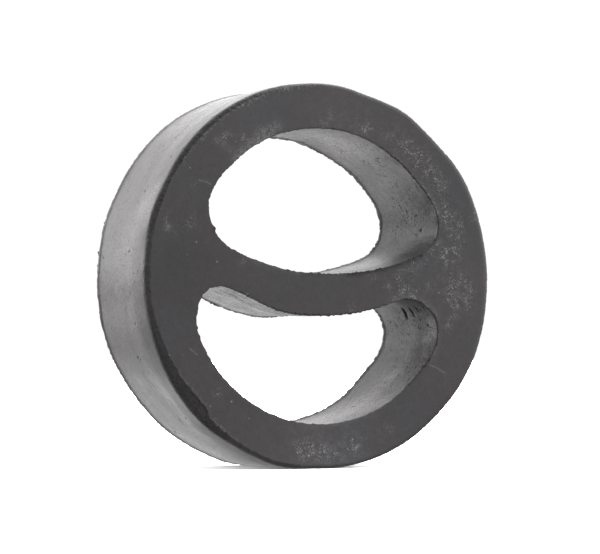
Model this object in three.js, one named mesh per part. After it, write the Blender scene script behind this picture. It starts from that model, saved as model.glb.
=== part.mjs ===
// Exhaust hanger: a moulded rubber ring with a curved web across its middle.
// The web divides the ring into an upper and a lower eye. Millimetres, +Z up.
// The eyes run along Y, the front face looks towards -Y, and the origin is the centre of the ring.
import * as THREE from "three";

// ---- driving dimensions -------------------------------------------------------------------------
const DEPTH = 20.5; // front face to back face

const RIM_EDGE_DEPTH = 0.7; // the bevel round the front face reaches this far down the outer wall
const RIM_EDGE_ROUND = 0.22; // softening where the bevel meets the wall
const BACK_EDGE_ROUND = 0.45; // rounding round the back face
const EYE_EDGE_ROUND = 0.18; // rounding at both mouths of each eye
const SEAT_DROP = 32.19; // the lowest stretch of the ring is pressed flat at this distance below its centre
const RIM_BLEND = 6; // the outer wall takes up the rim's own wander over this depth

const OUTER_STEPS = 144; // points round the ring
const EYE_STEPS = 4; // points between two neighbouring control points of an eye

// Radius of the outer wall every 7.5 degrees, anticlockwise from +X seen from the front.
const OUTER_RADIUS = [
  32.47, 32.42, 32.43, 32.53, 32.66, 32.57, 32.23, 32.27, 32.57, 32.35, 32.19, 32.48,
  32.57, 32.55, 32.65, 32.69, 32.72, 32.7, 32.59, 32.45, 32.29, 32.28, 32.38, 32.37,
  32.4, 32.53, 32.6, 32.63, 32.58, 32.48, 32.58, 32.7, 32.63, 32.67, 32.79, 32.59,
  32.33, 32.33, 32.37, 32.4, 32.47, 32.45, 32.47, 32.58, 32.68, 32.71, 32.6, 32.5,
];
// How far the bevel runs in over the front face, every 15 degrees: slight at the top, widest at the lower left.
const BEVEL_RUN = [
  1.15, 1.1, 1.0, 0.85, 0.75, 0.65, 0.55, 0.42, 0.36, 0.4, 0.6, 0.92,
  1.08, 1.2, 1.8, 1.95, 1.3, 0.75, 0.6, 0.6, 0.7, 0.85, 1.0, 1.1,
];
// How far the front rim stands out from (+) or falls short of (-) the outer wall, every 15 degrees.
const RIM_WANDER = [
  0, 0, 0, 0, 0, 0, 0, 0, -0.1, -0.02, 0.14, 0.16,
  -0.08, -0.32, -0.02, 0.06, -0.22, -0.2, -0.08, 0, 0, 0, 0, 0,
];

// Outline of the upper eye at the front face: x, z and how far the back outline lies outside the front one.
const UPPER_EYE = [
  [-20.72, 11.5, 0], [-20.03, 8.05, -0.05], [-17.82, 5.19, -0.15], [-14.73, 3.48, -0.25],
  [-11.33, 2.32, -0.3], [-7.88, 1.34, -0.32], [-4.34, 0.78, -0.34], [-0.76, 0.53, -0.34],
  [2.82, 0.52, -0.34], [6.4, 0.74, -0.34], [9.95, 1.26, -0.34], [13.45, 2.06, -0.35],
  [16.86, 3.13, -0.34], [20.17, 4.68, -0.52], [22.2, 7.42, -0.7], [22.12, 11.01, -0.42],
  [20.32, 14.1, -0.05], [17.85, 16.9, 0.1], [15.32, 19.31, 0], [12.39, 21.31, -0.22],
  [9.22, 23.0, -0.28], [5.84, 24.17, -0.24], [2.29, 24.71, -0.16], [-1.29, 24.78, -0.1],
  [-4.85, 24.36, -0.05], [-8.31, 23.42, 0], [-11.58, 21.95, 0], [-14.57, 19.98, 0],
  [-17.28, 17.64, 0], [-19.55, 14.87, 0],
];
// The same for the lower eye.
const LOWER_EYE = [
  [-20.71, -13.48, 0], [-18.58, -16.29, 0], [-16.05, -18.78, 0], [-13.2, -20.88, 0.05],
  [-10.09, -22.56, 0.1], [-6.77, -23.79, 0.14], [-3.31, -24.53, 0.18], [0.21, -24.75, 0.2],
  [3.74, -24.46, 0.2], [7.19, -23.67, 0.2], [10.5, -22.41, 0.2], [13.57, -20.67, 0.2],
  [16.34, -18.46, 0.02], [18.83, -15.95, -0.05], [21.05, -13.18, 0.17], [22.26, -9.89, 0.25],
  [21.53, -6.52, 0.2], [18.75, -4.23, 0.2], [15.41, -3.81, 0.24], [11.96, -4.89, 0.26],
  [8.55, -5.72, 0.24], [5.04, -6.27, 0.16], [1.52, -6.59, 0.08], [-2.02, -6.64, 0.1],
  [-5.55, -6.36, 0.31], [-8.98, -5.54, 0.42], [-12.28, -4.21, 0.4], [-15.46, -2.79, 0.36],
  [-19.12, -1.88, 0.3], [-21.8, -3.43, 0.18], [-22.96, -6.94, 0.08], [-22.35, -10.34, 0],
];

const RUBBER_COLOUR = 0x4b4a4b; // dull charcoal
const RUBBER_ROUGHNESS = 0.72;

// ---- curves ---------------------------------------------------------------------------------------
// Value at a fractional index of a ring of numbers, by a closed Catmull-Rom curve.
function around(values, index) {
  const n = values.length,
    k = Math.floor(index),
    t = index - k,
    v = (j) => values[(((k + j) % n) + n) % n];
  return (
    0.5 *
    (2 * v(0) +
      (v(1) - v(-1)) * t +
      (2 * v(-1) - 5 * v(0) + 4 * v(1) - v(2)) * t * t +
      (3 * v(0) - v(-1) - 3 * v(1) + v(2)) * t * t * t)
  );
}

// A loop is a list of { x, z, nx, nz }: points and the unit normals that point out of the loop.
function withNormals(points) {
  return points.map((p, i) => {
    const a = points[(i + points.length - 1) % points.length],
      b = points[(i + 1) % points.length],
      t = new THREE.Vector2(b.x - a.x, b.y - a.y).normalize();
    return { x: p.x, z: p.y, nx: t.y, nz: -t.x };
  });
}

const outerWall = Array.from({ length: OUTER_STEPS }, (_, i) => {
  const turn = (2 * Math.PI * i) / OUTER_STEPS;
  return {
    turn,
    radius: around(OUTER_RADIUS, (OUTER_RADIUS.length * i) / OUTER_STEPS),
    run: around(BEVEL_RUN, (BEVEL_RUN.length * i) / OUTER_STEPS),
    wander: around(RIM_WANDER, (RIM_WANDER.length * i) / OUTER_STEPS),
  };
});

function eyeLoop(control) {
  const points = [],
    taper = [];
  const curve = new THREE.CatmullRomCurve3(
    control.map(([x, z]) => new THREE.Vector3(x, z, 0)),
    true,
    "catmullrom",
    0.5,
  );
  const count = control.length * EYE_STEPS;
  for (let i = 0; i < count; i++) {
    const p = curve.getPoint(i / count);
    points.push(new THREE.Vector2(p.x, p.y));
    taper.push(around(control.map((c) => c[2]), i / EYE_STEPS));
  }
  return withNormals(points).map((p, i) => ({ ...p, taper: taper[i] }));
}

// ---- rings of the solid ---------------------------------------------------------------------------
// Each ring is one closed line of points at one step along the section, from the front face to the back face.
function outerRing(y, inset) {
  return outerWall.map(({ turn, radius, run, wander }) => {
    const nearFront = Math.max(0, 1 - y / RIM_BLEND) ** 2,
      r = radius + wander * nearFront - inset(run);
    return new THREE.Vector3(
      r * Math.cos(turn),
      y,
      Math.max(r * Math.sin(turn), -SEAT_DROP + 0.35 * inset(run)),
    );
  });
}
const outerRings = [
  outerRing(0, (run) => run + 0.12),
  outerRing(0.06, (run) => run),
  outerRing(0.5 * RIM_EDGE_DEPTH, (run) => 0.46 * run),
  outerRing(RIM_EDGE_DEPTH, () => 0.05),
  outerRing(RIM_EDGE_DEPTH + RIM_EDGE_ROUND, () => 0),
  outerRing(RIM_BLEND / 2, () => 0),
  outerRing(RIM_BLEND, () => 0),
  outerRing(DEPTH - BACK_EDGE_ROUND, () => 0),
  outerRing(DEPTH - 0.3 * BACK_EDGE_ROUND, () => 0.3 * BACK_EDGE_ROUND),
  outerRing(DEPTH, () => BACK_EDGE_ROUND),
];

function eyeRing(loop, y, out) {
  return loop.map(({ x, z, nx, nz, taper }) => {
    const o = out + (taper * y) / DEPTH;
    return new THREE.Vector3(x + nx * o, y, z + nz * o);
  });
}
function eyeRings(control) {
  const loop = eyeLoop(control),
    e = EYE_EDGE_ROUND;
  return [
    eyeRing(loop, 0, e),
    eyeRing(loop, 0.3 * e, 0.3 * e),
    eyeRing(loop, e, 0),
    eyeRing(loop, DEPTH - e, 0),
    eyeRing(loop, DEPTH - 0.3 * e, 0.3 * e),
    eyeRing(loop, DEPTH, e),
  ];
}
const upperRings = eyeRings(UPPER_EYE),
  lowerRings = eyeRings(LOWER_EYE);

// ---- skin -----------------------------------------------------------------------------------------
const positions = [],
  triangles = [];
function lay(rings) {
  return rings.map((ring) => {
    const first = positions.length / 3;
    for (const p of ring) positions.push(p.x, p.y, p.z);
    return { first, count: ring.length };
  });
}
const laidOuter = lay(outerRings),
  laidUpper = lay(upperRings),
  laidLower = lay(lowerRings);

// A band of triangles between neighbouring rings; `outward` says that the solid lies inside the rings.
function band(laid, outward) {
  for (let k = 0; k + 1 < laid.length; k++) {
    const { first: a, count } = laid[k],
      b = laid[k + 1].first;
    for (let i = 0; i < count; i++) {
      const j = (i + 1) % count,
        quad = outward
          ? [a + i, b + i, a + j, a + j, b + i, b + j]
          : [a + i, a + j, b + i, a + j, b + j, b + i];
      triangles.push(...quad);
    }
  }
}
band(laidOuter, true);
band(laidUpper, false);
band(laidLower, false);

// The flat faces: the ring's outline with the two eyes cut out of it.
function face(pick, front) {
  const outer = pick(laidOuter),
    holes = [pick(laidUpper), pick(laidLower)];
  const flat = ({ first, count }) =>
    Array.from(
      { length: count },
      (_, i) =>
        new THREE.Vector2(positions[3 * (first + i)], positions[3 * (first + i) + 2]),
    );
  const index = [outer, ...holes].flatMap(({ first, count }) =>
    Array.from({ length: count }, (_, i) => first + i),
  );
  for (const [a, b, c] of THREE.ShapeUtils.triangulateShape(flat(outer), holes.map(flat)))
    triangles.push(...(front ? [index[a], index[b], index[c]] : [index[a], index[c], index[b]]));
}
face((laid) => laid[0], true);
face((laid) => laid[laid.length - 1], false);

const skin = new THREE.BufferGeometry()
  .setAttribute("position", new THREE.Float32BufferAttribute(positions, 3))
  .setIndex(triangles);
skin.computeBoundingBox();
const middle = skin.boundingBox.getCenter(new THREE.Vector3());
skin.translate(-middle.x, -middle.y, -middle.z);
skin.computeVertexNormals();

const ring = new THREE.Mesh(
  skin,
  new THREE.MeshStandardMaterial({
    color: RUBBER_COLOUR,
    roughness: RUBBER_ROUGHNESS,
    metalness: 0,
  }),
);
ring.name = "hanger_ring";

const hanger = new THREE.Group();
hanger.name = "exhaust_hanger";
hanger.add(ring);

export default hanger;
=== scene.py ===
import math

import bmesh
import bpy
import numpy as np
from mathutils import Matrix, Vector
from mathutils.geometry import delaunay_2d_cdt


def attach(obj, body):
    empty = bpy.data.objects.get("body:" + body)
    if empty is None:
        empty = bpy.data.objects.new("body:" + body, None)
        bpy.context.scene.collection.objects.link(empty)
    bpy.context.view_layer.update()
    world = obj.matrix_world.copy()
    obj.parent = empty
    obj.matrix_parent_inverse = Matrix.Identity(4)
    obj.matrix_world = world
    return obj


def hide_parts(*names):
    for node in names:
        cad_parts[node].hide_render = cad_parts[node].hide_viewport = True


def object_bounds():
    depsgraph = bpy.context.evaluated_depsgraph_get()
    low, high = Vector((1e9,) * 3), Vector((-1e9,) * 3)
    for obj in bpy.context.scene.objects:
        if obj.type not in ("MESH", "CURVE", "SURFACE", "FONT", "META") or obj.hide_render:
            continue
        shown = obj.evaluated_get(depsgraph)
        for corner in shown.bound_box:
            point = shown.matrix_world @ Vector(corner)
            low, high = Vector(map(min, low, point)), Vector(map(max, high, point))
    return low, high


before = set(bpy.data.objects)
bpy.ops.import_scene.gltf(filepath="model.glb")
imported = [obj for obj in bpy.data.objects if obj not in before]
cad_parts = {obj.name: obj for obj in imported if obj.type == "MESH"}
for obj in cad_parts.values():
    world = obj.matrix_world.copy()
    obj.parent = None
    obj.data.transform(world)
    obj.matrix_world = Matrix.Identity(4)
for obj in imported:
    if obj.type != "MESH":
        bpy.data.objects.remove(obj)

cad_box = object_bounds()
MM = 0.001

# ---- driving numbers, the same as the CAD part's, in millimetres from the centre of the front face ----
DEPTH = 20.5
SEAT_DROP = 32.19
RIM_BLEND = 11.0
BACK_ROUND = 0.45
EYE_ROUND = 0.26

# Radius of the outer wall every 7.5 degrees, anticlockwise from +X seen from the front.
OUTER_RADIUS = [
    32.47, 32.42, 32.43, 32.53, 32.66, 32.57, 32.23, 32.27, 32.57, 32.35, 32.19, 32.48,
    32.57, 32.55, 32.65, 32.69, 32.72, 32.7, 32.59, 32.45, 32.29, 32.28, 32.38, 32.37,
    32.4, 32.53, 32.6, 32.63, 32.58, 32.48, 32.58, 32.7, 32.63, 32.67, 32.79, 32.59,
    32.33, 32.33, 32.37, 32.4, 32.47, 32.45, 32.47, 32.58, 32.68, 32.71, 32.6, 32.5,
]
# How far the bevel runs in over the front face, every 15 degrees.
BEVEL_RUN = [
    1.15, 1.1, 1.0, 0.85, 0.75, 0.65, 0.55, 0.42, 0.36, 0.4, 0.6, 0.92,
    1.08, 1.2, 1.8, 1.95, 1.3, 0.75, 0.6, 0.6, 0.7, 0.85, 1.0, 1.1,
]
# How far the front rim stands out from the wall (+) or falls short of it (-), every 15 degrees.
RIM_WANDER = [
    0, 0, 0, 0, 0, 0, 0, 0, -0.1, -0.02, 0.14, 0.16,
    -0.08, -0.32, -0.02, 0.06, -0.22, -0.2, -0.08, 0, 0, 0, 0, 0,
]
# How ragged the bevel's inner edge is, every 15 degrees: nicked at the upper left, lumpy at the lower left.
RIM_NICKS = [
    0.04, 0.04, 0.04, 0.04, 0.05, 0.07, 0.12, 0.18, 0.2, 0.19, 0.15, 0.1,
    0.09, 0.11, 0.18, 0.23, 0.15, 0.08, 0.05, 0.04, 0.04, 0.04, 0.04, 0.04,
]
# How rounded the rim's front edge is, every 15 degrees: 1 a plain round, 0 a flat bevel.
RIM_SOFT = [1, 1, 1, 1, 0.9, 0.8, 0.6, 0.3, 0.1, 0, 0, 0, 0, 0, 0, 0, 0, 0.1, 0.5, 0.9, 1, 1, 1, 1]
# How strongly the bevel is painted in shade and made matt, every 15 degrees: darkest at the upper left.
RIM_SHADE_AND_MATT = [0, 0, 0, 0, 0, 0, 0.2, 0.5, 1, 1, 0.95, 0.6, 0.4, 0.4, 0.45, 0.6, 0.35, 0.2, 0.1, 0, 0, 0, 0, 0]
# How many pale nicks lie just inside the bevel, every 15 degrees.
RIM_SPECKS = [0, 0, 0, 0, 0.1, 0.3, 0.6, 0.9, 1, 0.9, 0.4, 0.15, 0.15, 0.2, 0.6, 0.9, 0.5, 0.2, 0.1, 0, 0, 0, 0, 0]
# Where the torn rim departs from those curves: degrees, how far its edge stands out, how much wider the bevel is.
RIM_TORN = [
    (0, 0, 0), (95, 0, 0), (105, 0, 0.1), (112, 0, 0.25), (120, -0.04, 0.36), (135, -0.03, 0.48), (145, -0.1, 0.25),
    (150, -0.2, 0), (162, -0.06, 0.04), (170, -0.42, -0.4), (180, -0.18, -0.28), (190, -0.24, -0.5), (200, -0.3, -0.42),
    (210, -0.2, -0.33), (215, 0, -0.15), (221.5, 0.05, 0.15), (226.8, 0.05, 0.15), (227.7, 0, -0.5), (235, -0.09, -0.6),
    (240, -0.15, -0.72), (245, -0.12, -0.54), (250, -0.09, -0.36), (257, 0, 0), (360, 0, 0),
]
# Torn stretches of an eye's front edge, also painted dark along the edge as shade: the eye, from and to as shares of
# its loop, how badly.
EYE_TORN_AND_SHADE = [("upper", 0.28, 0.43, 1.0), ("upper", 0.17, 0.27, 0.35), ("lower", 0.63, 0.78, 0.6), ("lower", 0.38, 0.5, 0.45), ("upper", 0.54, 0.64, 0.35)]
# Outline of each eye at the front face: x, z and how far the back outline lies outside the front one.
UPPER_EYE = [
    [-20.72, 11.5, 0], [-20.03, 8.05, -0.05], [-17.82, 5.19, -0.15], [-14.73, 3.48, -0.25],
    [-11.33, 2.32, -0.3], [-7.88, 1.34, -0.32], [-4.34, 0.78, -0.34], [-0.76, 0.53, -0.34],
    [2.82, 0.52, -0.34], [6.4, 0.74, -0.34], [9.95, 1.26, -0.34], [13.45, 2.06, -0.35],
    [16.86, 3.13, -0.34], [20.17, 4.68, -0.52], [22.2, 7.42, -0.7], [22.12, 11.01, -0.42],
    [20.32, 14.1, -0.05], [17.85, 16.9, 0.1], [15.32, 19.31, 0], [12.39, 21.31, -0.22],
    [9.22, 23.0, -0.28], [5.84, 24.17, -0.24], [2.29, 24.71, -0.16], [-1.29, 24.78, -0.1],
    [-4.85, 24.36, -0.05], [-8.31, 23.42, 0], [-11.58, 21.95, 0], [-14.57, 19.98, 0],
    [-17.28, 17.64, 0], [-19.55, 14.87, 0],
]
LOWER_EYE = [
    [-20.71, -13.48, 0], [-18.58, -16.29, 0], [-16.05, -18.78, 0], [-13.2, -20.88, 0.05],
    [-10.09, -22.56, 0.1], [-6.77, -23.79, 0.14], [-3.31, -24.53, 0.18], [0.21, -24.75, 0.2],
    [3.74, -24.46, 0.2], [7.19, -23.67, 0.2], [10.5, -22.41, 0.2], [13.57, -20.67, 0.2],
    [16.34, -18.46, 0.02], [18.83, -15.95, -0.05], [21.05, -13.18, 0.17], [22.26, -9.89, 0.25],
    [21.53, -6.52, 0.2], [18.75, -4.23, 0.2], [15.41, -3.81, 0.24], [11.96, -4.89, 0.26],
    [8.55, -5.72, 0.24], [5.04, -6.27, 0.16], [1.52, -6.59, 0.08], [-2.02, -6.64, 0.1],
    [-5.55, -6.36, 0.31], [-8.98, -5.54, 0.42], [-12.28, -4.21, 0.4], [-15.46, -2.79, 0.36],
    [-19.12, -1.88, 0.3], [-21.8, -3.43, 0.18], [-22.96, -6.94, 0.08], [-22.35, -10.34, 0],
]

# ---- marks on the rubber ----------------------------------------------------------------------------
# Pits and blisters on the walls: depth from the front face, share of the loop, radius, how deep (- stands out).
WALL_PITS = {
    "outer": [
        (20.25, 0.454, 0.2, -0.36), (20.3, 0.4795, 0.2, -0.2), (20.3, 0.4905, 0.18, -0.18),
        (3.8, 0.3976, 0.16, 0.14), (9, 0.3602, 0.18, 0.1), (12.8, 0.3681, 0.15, 0.09),
        (9.4, 0.3733, 0.15, 0.09), (7.5, 0.4288, 0.18, 0.17), (7.2, 0.4809, 0.18, 0.17),
        (8.6, 0.4835, 0.15, 0.1), (18.2, 0.4844, 0.15, 0.12), (9.2, 0.5686, 0.18, 0.19),
        (8.5, 0.5706, 0.13, 0.1), (5.9, 0.5399, 0.15, 0.12), (9.4, 0.6328, 0.15, 0.12),
        (5.7, 0.6293, 0.16, 0.15), (17.2, 0.6493, 0.18, 0.14), (10.3, 0.6554, 0.15, 0.12),
        (6.2, 0.3646, 0.15, 0.07), (8.3, 0.3429, 0.18, -0.08), (8.1, 0.3698, 0.18, -0.08),
        (13, 0.12, 0.18, 0.14), (6.5, 0.03, 0.16, 0.12), (15, 0.93, 0.18, 0.13),
        (9.5, 0.24, 0.16, 0.1), (11.5, 0.82, 0.18, 0.13),
    ],
    "upper": [
        (0.15, 0.0389, 0.3, -0.34),
        (5.5, 0.6639, 0.15, 0.12), (5.4, 0.6222, 0.18, 0.17), (6.5, 0.6139, 0.16, 0.17),
        (5.8, 0.475, 0.22, 0.22), (10.7, 0.5444, 0.15, 0.14), (4.6, 0.5472, 0.13, 0.09),
        (12.3, 0.65, 0.13, 0.09), (11.8, 0.4194, 0.15, 0.1), (11.5, 0.5056, 0.15, 0.09),
        (14, 0.9, 0.18, 0.14), (8, 0.82, 0.15, 0.1), (12, 0.2, 0.16, 0.1),
    ],
    "lower": [
        (16.1, 0.5078, 0.18, 0.17), (14.4, 0.5052, 0.18, 0.17), (1.1, 0.5182, 0.18, 0.17),
        (3.2, 0.4844, 0.22, 0.21), (9.7, 0.4375, 0.15, 0.12), (8.8, 0.4245, 0.15, 0.12),
        (9.8, 0.4167, 0.15, 0.1), (9.7, 0.4661, 0.15, 0.1), (15.9, 0.4453, 0.15, 0.09),
        (7.6, 0.4557, 0.15, 0.09), (11, 0.1, 0.16, 0.12), (7, 0.93, 0.16, 0.1),
    ],
}
# Cuts in the lower eye's wall: from and to (depth, share of the loop), radius, how deep.
WALL_CUTS = [
    ((9.4, 0.5155), (10.6, 0.495), 0.24, 0.7),
    ((6.6, 0.5175), (7.1, 0.5), 0.15, 0.42),
    ((15.9, 0.5085), (13.7, 0.5045), 0.11, 0.1),
    ((1.0, 0.523), (1.3, 0.513), 0.11, 0.14),
    ((11.6, 0.5165), (12.2, 0.5045), 0.13, 0.2),
    ((3.8, 0.5195), (4.2, 0.5075), 0.13, 0.22),
]
# Raised crumbs of chalky dirt on the front face: x, z, radius, how pale.
CRUMBS = [
    (21.58, 17.07, 0.3, 1.0), (22.24, 11.34, 0.26, 1.0), (25.96, 4.25, 0.3, 0.9), (21.31, 5.8, 0.28, 1.0),
    (22.43, -2.53, 0.28, 1.2), (28.62, -4.94, 0.24, 0.6), (14.68, -1.43, 0.24, 0.7), (29.65, 11.37, 0.24, 0.9),
    (-27.89, -13.23, 0.2, 0.8), (-20.56, -21.58, 0.22, 0.8), (-16.74, -20.89, 0.3, 1.0), (-13.57, -23.68, 0.2, 0.7),
    (-18.31, -17.05, 0.22, 0.9), (-18.7, -24.98, 0.22, 0.9), (-17.32, -26.4, 0.2, 0.8), (-23.13, 5.29, 0.26, 0.9),
    (-24.76, 3.11, 0.2, 0.8), (-24.28, 17.41, 0.24, 0.9), (-19.4, 2.09, 0.26, 1.1), (-16.05, 21.97, 0.22, 0.9),
    (-13.93, -3.11, 0.24, 0.9), (-24.77, -17.85, 0.2, 0.9), (26.45, 3.86, 0.24, 0.9), (16.63, 1.56, 0.24, 0.9),
    (25.08, 8.66, 0.22, 0.8), (27.45, 6.29, 0.22, 0.8), (-3.21, -28.68, 0.24, 0.7), (5.26, -27.63, 0.2, 0.6),
]
# Pale scratches on the front face: x, z along each.
SCRATCHES = [
    [(-22.66, 15.52), (-22.19, 15.42), (-21.40, 15.26), (-20.49, 14.83)],
    [(-24.27, -12.17), (-23.70, -12.54), (-23.02, -13.13)],
    [(-28.46, 9.36), (-28.41, 8.46), (-28.28, 7.65)],
    [(-28.73, 7.80), (-28.19, 7.73), (-27.66, 7.83)],
    [(14.49, 1.19), (15.66, 1.38), (16.82, 1.14)],
    [(20.70, -14.87), (22.07, -15.39), (23.65, -16.30)],
    [(25.9, 7.4), (26.6, 6.6)],
    [(24.5, -3.6), (25.0, -4.9), (25.7, -5.6)],
    [(-18.51, 23.37), (-17.78, 22.90), (-17.24, 23.25)],
]
# A thin even veil of specks: x, z, radius, amount.
DUST_VEIL = [
    (1.0, 26.4, 2.6, 0.6), (7.0, 26.0, 3.2, 0.55), (13.5, 24.0, 3.0, 0.6), (19.5, 19.0, 3.0, 0.4), (24.6, 14.0, 4.0, 0.15),
    (26.0, 7.0, 4.0, 0.15), (25.6, 0.0, 4.0, 0.12), (17.0, -0.5, 4.0, 0.12), (26.0, -7.0, 3.5, 0.2), (-1.0, -28.6, 4.5, 0.3),
    (6.0, -28.6, 4.0, 0.25), (-20.0, 24.0, 3.0, 0.15), (-26.5, 8.5, 3.0, 0.2),
]
# Scuffed stretches of the front face along an eye's edge: the eye, from and to as shares of its loop, width, amount.
SCUFFS = [
    ("upper", 0.845, 0.91, 1.1, 1.0), ("upper", 0.5, 0.555, 0.6, 0.7), ("lower", 0.5, 0.58, 0.8, 0.6),
    ("upper", 0.12, 0.2, 0.7, 0.25), ("lower", 0.2, 0.3, 0.7, 0.2), ("upper", 0.57, 0.62, 0.5, 0.4), ("lower", 0.43, 0.47, 0.6, 0.4),
]
# Scuffed spots away from the edges: x, z, radius, amount.
SCUFF_SPOTS = [
    (-8.4, 24.9, 0.8, 0.9), (-9.4, 24.3, 0.8, 1.0), (-10.6, 23.7, 0.8, 0.9), (-11.9, 22.9, 0.8, 1.0), (-13.0, 22.0, 0.8, 0.9),
    (-14.3, 20.8, 0.7, 0.9), (-19.2, 22.2, 0.7, 0.55), (-18.2, 21.6, 0.6, 0.6), (-16.9, 20.6, 0.6, 0.4), (-28.2, 7.6, 0.7, 0.5),
]
# Where the pale film on the walls, and with it the painted sheen, is thicker (+), or thinner as painted shade (-):
# depth, share of the loop, reach, amount.
WALL_FILM_AND_SHEEN = {
    "outer": [
        (5.0, 0.4395, 2.6, 0.9), (2.6, 0.45, 1.8, 0.8), (3.0, 0.4285, 1.6, 0.9), (1.2, 0.467, 1.3, -1.0),
        (1.4, 0.476, 1.2, -0.9), (8.0, 0.64, 5.0, 0.6), (11.0, 0.672, 4.0, 0.9), (14.0, 0.69, 4.0, 1.2), (4.0, 0.7, 4.0, -0.5), (5.0, 0.73, 3.0, -0.4),
        (9.0, 0.565, 7.0, -0.4), (15.5, 0.61, 4.0, -0.35), (9.0, 0.5, 6.0, 0.5), (13.0, 0.36, 3.0, 0.5), (6.0, 0.6, 3.0, 0.3), (10.0, 0.475, 5.0, 0.35), (15.0, 0.53, 4.0, -0.2), (14.0, 0.4, 4.0, 0.15),
        (6.0, 0.1, 5.0, 0.5), (12.0, 0.93, 6.0, 0.4), (14.0, 0.2, 6.0, -0.3),
    ],
    "upper": [
        (7.0, 0.675, 5.0, 2.0), (12.0, 0.67, 5.0, 1.9), (8.0, 0.53, 4.5, -0.35), (6.0, 0.48, 3.0, 0.15), (12.0, 0.375, 6.0, 1.9), (10.0, 0.9, 6.0, 0.3),
    ],
    "lower": [
        (1.8, 0.478, 1.3, 1.6), (2.8, 0.466, 0.9, 1.3), (4.6, 0.461, 0.5, 2.0), (15.0, 0.81, 6.5, 0.3), (5.0, 0.775, 3.0, 1.6),
        (14.0, 0.89, 5.0, 1.8), (7.0, 0.4, 3.0, 0.3), (10.0, 0.31, 6.5, 2.4), (3.0, 0.33, 1.6, 0.8), (6.0, 0.52, 4.5, -1.0), (13.0, 0.52, 4.0, -0.5), (7.0, 0.45, 3.0, -0.4),
    ],
}
# Broad painted light and shade on the front face, lighter towards the bottom, top and right, darker towards the left:
# x, z, reach, amount.
FACE_LIGHT_AND_SHADE = [(0.0, -29.5, 9.0, 0.75), (2.0, 29.0, 11.0, 0.4), (-13.0, 26.5, 6.0, 0.3), (27.0, 0.0, 7.0, 0.2), (-27.0, 0.0, 9.0, -0.35)]
# Patches of dust and scuffing on the front face: x, z, radius.
DUST = [
    (-17.6, 22.9, 1.0), (-28.3, 7.9, 0.8), (-27.8, 6.8, 0.6), (-23.9, 8.6, 1.0), (-14.6, 22.6, 1.0), (-11.6, 24.0, 1.0),
    (-23.8, 14.6, 0.6), (-14.6, 2.4, 0.9), (18.5, 20.3, 1.8), (16.2, 22.4, 1.7), (20.9, 18.4, 1.6), (22.9, 16.6, 1.3),
    (23.2, 15.0, 1.4), (24.0, 12.4, 1.25), (24.9, 9.6, 1.87), (26.2, 8.0, 1.56), (24.0, 10.9, 1.01), (23.4, 3.6, 1.64),
    (25.2, 4.2, 1.72), (22.4, 5.6, 1.0), (20.6, 5.0, 1.0), (25.9, -0.6, 2.03), (26.9, -3.9, 1.87), (24.8, -3.4, 1.4),
    (28.3, -2.2, 1.4), (24.4, -7.6, 0.94), (17.6, 1.8, 1.4), (19.6, 2.6, 0.94), (14.6, 0.2, 0.94), (12.6, -1.6, 1.0),
    (15.8, -2.0, 1.17), (17.6, -3.2, 1.25), (14.4, -3.6, 1.0), (20.4, -1.6, 1.09), (29.4, 10.6, 0.8), (12.9, 24.0, 0.8),
    (8.6, 25.2, 0.9), (-4.0, -29.0, 1.6), (-2.6, -28.6, 1.3), (0.2, -29.6, 2.1),
    (2.0, -30.0, 1.6), (6.0, -28.6, 1.4), (-19.5, -19.5, 0.8), (9.4, 0.2, 0.9), (5.6, -5.4, 0.8), (12.4, -26.0, 1.09),
]

# The same on the back face, which the weather has reached as much.
BACK_DUST = [
    (-20.6, 21.4, 3.6, 0.5), (-23.9, 15.2, 1.5, 0.8), (-17.2, 22.8, 1.2, 0.9), (-25.2, 9.6, 3.0, 0.35), (-26.6, 1.4, 1.1, 0.8),
    (-17.9, 1.2, 2.6, 0.4), (-6.4, 27.1, 4.0, 0.3), (-9.9, 26.0, 1.0, 0.8), (19.6, 21.0, 4.4, 0.45), (22.8, 17.4, 1.2, 0.9),
    (26.3, 4.6, 3.6, 0.5), (24.6, -1.9, 1.6, 0.7), (25.6, -11.4, 3.2, 0.3), (14.2, 0.4, 2.2, 0.5), (-2.4, -29.2, 4.6, 0.5),
    (3.4, -28.2, 1.0, 0.9), (-15.8, -23.6, 1.0, 0.8), (12.2, -26.6, 2.6, 0.35), (-26.1, -9.2, 3.4, 0.3), (4.8, -2.8, 1.0, 0.7),
]


# ---- curves and fields --------------------------------------------------------------------------------
def around(values, index):
    """Value at fractional indices of a ring of numbers, by a closed Catmull-Rom curve."""
    v = np.asarray(values, float)
    k = np.floor(index).astype(int)
    t = (index - k).reshape((-1,) + (1,) * (v.ndim - 1))
    a, b, c, d = (v[(k + j) % len(v)] for j in (-1, 0, 1, 2))
    return 0.5 * (2 * b + (c - a) * t + (2 * a - 5 * b + 4 * c - d) * t**2 + (3 * b - a - 3 * c + d) * t**3)


class Field:
    """A smooth random field over space, from -1 to 1, the same on each run. cell is its grain in millimetres."""

    def __init__(self, seed, cell):
        self.table = np.random.RandomState(seed).uniform(-1, 1, (32, 32, 32))
        self.cell = np.asarray(cell, float)

    def __call__(self, p):
        q = np.asarray(p, float) / self.cell + 640.37
        i = np.floor(q).astype(int)
        t = q - i
        t = t * t * t * (t * (6 * t - 15) + 10)
        total = 0.0
        for corner in np.ndindex(2, 2, 2):
            c = np.array(corner)
            weight = np.where(c == 1, t, 1 - t).prod(-1)
            j = (i + c) % 32
            total = total + weight * self.table[j[..., 0], j[..., 1], j[..., 2]]
        return total


def fade(x, low, high):
    t = np.clip((np.asarray(x, float) - low) / (high - low), 0, 1)
    return t * t * (3 - 2 * t)


# ---- rings of the skin --------------------------------------------------------------------------------
NICK = Field(11, 0.5)
LUMP = Field(12, 1.5)
CORNER = Field(13, 0.5)
FRAY = Field(14, 0.45)
FRAY_WIDE = Field(15, 1.4)
LIP = Field(16, 2.4)
BURR = Field(17, 0.31)
CLUMP = Field(18, 2.2)
# The walls lie this far behind the trimmed lip of flash that runs along each rear edge.
OUTER_LIP = 0.17
EYE_LIP = 0.2


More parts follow.
